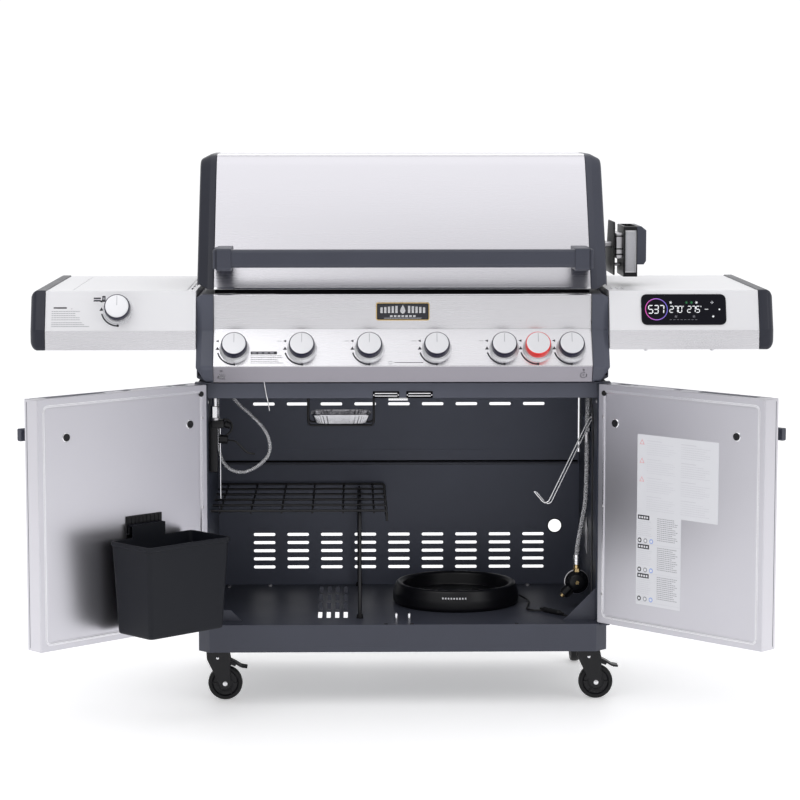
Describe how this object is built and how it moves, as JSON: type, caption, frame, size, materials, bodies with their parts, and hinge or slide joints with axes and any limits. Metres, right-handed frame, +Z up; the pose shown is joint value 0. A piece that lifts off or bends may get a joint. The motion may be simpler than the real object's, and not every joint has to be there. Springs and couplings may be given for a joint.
{
  "type": "gas barbecue grill",
  "caption": "Wide gas barbecue grill on a wheeled cabinet, with a hinged hood, side shelves, a side burner, double doors and a knob panel.",
  "frame": {"origin": "centre of the whole object's box, on the floor under the caster wheels", "axes": "+X to the right as seen from the front, +Y from the front to the back, +Z up; the doors are open at rest"},
  "size_m": [1.59, 0.9021, 1.185],
  "materials": {
    "stainless_steel": "brushed stainless sheet",
    "silver_paint": "satin silver-white paint",
    "charcoal_paint": "satin charcoal powder coat",
    "dark_paint": "dark powder coat",
    "black_plastic": "satin black moulding",
    "bin_plastic": "fine-textured black polypropylene",
    "cast_iron": "porcelain-coated cast iron",
    "black_wire": "black coated wire",
    "brass": "cast brass",
    "foil": "bright foil",
    "knob_navy": "gloss ring with a brushed cap",
    "knob_red": "gloss ring with a brushed cap",
    "rubber": "black rubber",
    "hose_braid": "braided steel sleeve"
  },
  "bodies": {
    "cabinet": {"bottom_panel": "charcoal_paint", "left_side_panel": "dark_paint", "right_side_panel": "dark_paint", "back_panel_lower": "dark_paint", "back_panel_upper": "dark_paint", "front_top_rail": "charcoal_paint", "firebox": "charcoal_paint", "firebox_end_left": "charcoal_paint", "firebox_end_right": "charcoal_paint", "control_panel": "stainless_steel", "gas_manifold": "brass", "main_burners": "stainless_steel", "heat_plates": "stainless_steel", "cooking_grate": "cast_iron", "rear_burner": "stainless_steel", "left_shelf": "silver_paint", "left_shelf_cap": "charcoal_paint", "side_burner": "brass", "right_shelf": "silver_paint", "right_shelf_cap": "charcoal_paint", "control_display": "black_plastic", "rotisserie_bracket": "silver_paint", "rotisserie_motor": "silver_paint", "wire_shelf": "black_wire", "tank_scale": "black_plastic", "regulator": "black_plastic", "regulator_hose": "hose_braid", "side_burner_hose": "hose_braid", "scale_lead": "rubber"},
    "lid": {"lid_shell": "stainless_steel", "lid_cap_left": "charcoal_paint", "lid_cap_right": "charcoal_paint", "lid_handle": "charcoal_paint"},
    "side_burner_cover": {"side_burner_lid": "silver_paint"},
    "spindle": {"rotisserie_spindle": "stainless_steel"},
    "grease_drawer": {"grease_tray": "stainless_steel"},
    "grease_pan": {"grease_cup": "foil"},
    "door_left": {"left_door": "stainless_steel", "left_door_handle": "charcoal_paint"},
    "waste_bin": {"trash_bin": "bin_plastic"},
    "door_right": {"right_door": "stainless_steel", "right_door_handle": "charcoal_paint"},
    "knob_1": {"burner_knob_1": "knob_navy"},
    "knob_2": {"burner_knob_2": "knob_navy"},
    "knob_3": {"burner_knob_3": "knob_navy"},
    "knob_4": {"burner_knob_4": "knob_navy"},
    "knob_5": {"burner_knob_5": "knob_navy"},
    "knob_6": {"burner_knob_6": "knob_red"},
    "knob_7": {"burner_knob_7": "knob_navy"},
    "side_knob": {"side_burner_knob": "knob_navy"},
    "caster_front_left": {"caster_fork_front_left": "black_plastic"},
    "wheel_front_left": {"caster_wheel_front_left": "rubber"},
    "brake_front_left": {"caster_brake_front_left": "black_plastic"},
    "caster_front_right": {"caster_fork_front_right": "black_plastic"},
    "wheel_front_right": {"caster_wheel_front_right": "rubber"},
    "brake_front_right": {"caster_brake_front_right": "black_plastic"},
    "caster_rear_left": {"caster_fork_rear_left": "black_plastic"},
    "wheel_rear_left": {"caster_wheel_rear_left": "rubber"},
    "caster_rear_right": {"caster_fork_rear_right": "black_plastic"},
    "wheel_rear_right": {"caster_wheel_rear_right": "rubber"}
  },
  "joints": [
    {"name": "lid_hinge", "type": "hinge", "parent": "cabinet", "child": "lid", "pos_m": [0, 0.3801, 0.93], "axis": [-1, 0, 0], "range_deg": [0, 85]},
    {"name": "side_burner_lid_hinge", "type": "hinge", "parent": "cabinet", "child": "side_burner_cover", "pos_m": [0, 0.3811, 0.8965], "axis": [-1, 0, 0], "range_deg": [0, 95]},
    {"name": "left_door_hinge", "type": "hinge", "parent": "cabinet", "child": "door_left", "pos_m": [-0.439, -0.1199, 0.44], "axis": [0, 0, -1], "range_deg": [-137, 18.5]},
    {"name": "right_door_hinge", "type": "hinge", "parent": "cabinet", "child": "door_right", "pos_m": [0.439, -0.1199, 0.44], "axis": [0, 0, 1], "range_deg": [-133.7, 18.3]},
    {"name": "bin_lift", "type": "slide", "parent": "door_left", "child": "waste_bin", "axis": [0, 0, 1], "range_m": [0, 0.06]},
    {"name": "grease_tray_slide", "type": "slide", "parent": "cabinet", "child": "grease_drawer", "axis": [0, 1, 0], "range_m": [0, 0.3]},
    {"name": "grease_cup_slide", "type": "slide", "parent": "cabinet", "child": "grease_pan", "axis": [0, -1, 0], "range_m": [0, 0.12]},
    {"name": "burner_knob_1_turn", "type": "hinge", "parent": "cabinet", "child": "knob_1", "pos_m": [-0.36, -0.11397, 0.77334], "axis": [0, -0.8605, 0.5095], "range_deg": [0, 180]},
    {"name": "burner_knob_2_turn", "type": "hinge", "parent": "cabinet", "child": "knob_2", "pos_m": [-0.216, -0.11397, 0.77334], "axis": [0, -0.8605, 0.5095], "range_deg": [0, 180]},
    {"name": "burner_knob_3_turn", "type": "hinge", "parent": "cabinet", "child": "knob_3", "pos_m": [-0.072, -0.11397, 0.77334], "axis": [0, -0.8605, 0.5095], "range_deg": [0, 180]},
    {"name": "burner_knob_4_turn", "type": "hinge", "parent": "cabinet", "child": "knob_4", "pos_m": [0.072, -0.11397, 0.77334], "axis": [0, -0.8605, 0.5095], "range_deg": [0, 180]},
    {"name": "burner_knob_5_turn", "type": "hinge", "parent": "cabinet", "child": "knob_5", "pos_m": [0.216, -0.11397, 0.77334], "axis": [0, -0.8605, 0.5095], "range_deg": [0, 180]},
    {"name": "burner_knob_6_turn", "type": "hinge", "parent": "cabinet", "child": "knob_6", "pos_m": [0.288, -0.11397, 0.77334], "axis": [0, -0.8605, 0.5095], "range_deg": [0, 180]},
    {"name": "burner_knob_7_turn", "type": "hinge", "parent": "cabinet", "child": "knob_7", "pos_m": [0.36, -0.11397, 0.77334], "axis": [0, -0.8605, 0.5095], "range_deg": [0, 180]},
    {"name": "side_burner_knob_turn", "type": "hinge", "parent": "cabinet", "child": "side_knob", "pos_m": [-0.608, -0.10421, 0.85689], "axis": [0, -0.9391, 0.3436], "range_deg": [0, 180]},
    {"name": "rotisserie_turn", "type": "hinge", "parent": "cabinet", "child": "spindle", "pos_m": [0.47, 0.1101, 0.985], "axis": [1, 0, 0], "continuous": true},
    {"name": "caster_swivel_front_left", "type": "hinge", "parent": "cabinet", "child": "caster_front_left", "pos_m": [-0.405, -0.0599, 0.11], "axis": [0, 0, 1], "continuous": true},
    {"name": "caster_roll_front_left", "type": "hinge", "parent": "caster_front_left", "child": "wheel_front_left", "pos_m": [-0.387, -0.0599, 0.0375], "axis": [0, 1, 0], "continuous": true},
    {"name": "caster_brake_front_left_press", "type": "hinge", "parent": "caster_front_left", "child": "brake_front_left", "pos_m": [-0.381, -0.0599, 0.084], "axis": [0, 1, 0], "range_deg": [0, 12]},
    {"name": "caster_swivel_front_right", "type": "hinge", "parent": "cabinet", "child": "caster_front_right", "pos_m": [0.405, -0.0599, 0.11], "axis": [0, 0, 1], "continuous": true},
    {"name": "caster_roll_front_right", "type": "hinge", "parent": "caster_front_right", "child": "wheel_front_right", "pos_m": [0.423, -0.0599, 0.0375], "axis": [0, 1, 0], "continuous": true},
    {"name": "caster_brake_front_right_press", "type": "hinge", "parent": "caster_front_right", "child": "brake_front_right", "pos_m": [0.429, -0.0599, 0.084], "axis": [0, 1, 0], "range_deg": [0, 12]},
    {"name": "caster_swivel_rear_left", "type": "hinge", "parent": "cabinet", "child": "caster_rear_left", "pos_m": [-0.41, 0.3101, 0.11], "axis": [0, 0, 1], "continuous": true},
    {"name": "caster_roll_rear_left", "type": "hinge", "parent": "caster_rear_left", "child": "wheel_rear_left", "pos_m": [-0.41, 0.3281, 0.0375], "axis": [-1, 0, 0], "continuous": true},
    {"name": "caster_swivel_rear_right", "type": "hinge", "parent": "cabinet", "child": "caster_rear_right", "pos_m": [0.41, 0.3101, 0.11], "axis": [0, 0, 1], "continuous": true},
    {"name": "caster_roll_rear_right", "type": "hinge", "parent": "caster_rear_right", "child": "wheel_rear_right", "pos_m": [0.41, 0.3281, 0.0375], "axis": [-1, 0, 0], "continuous": true}
  ]
}
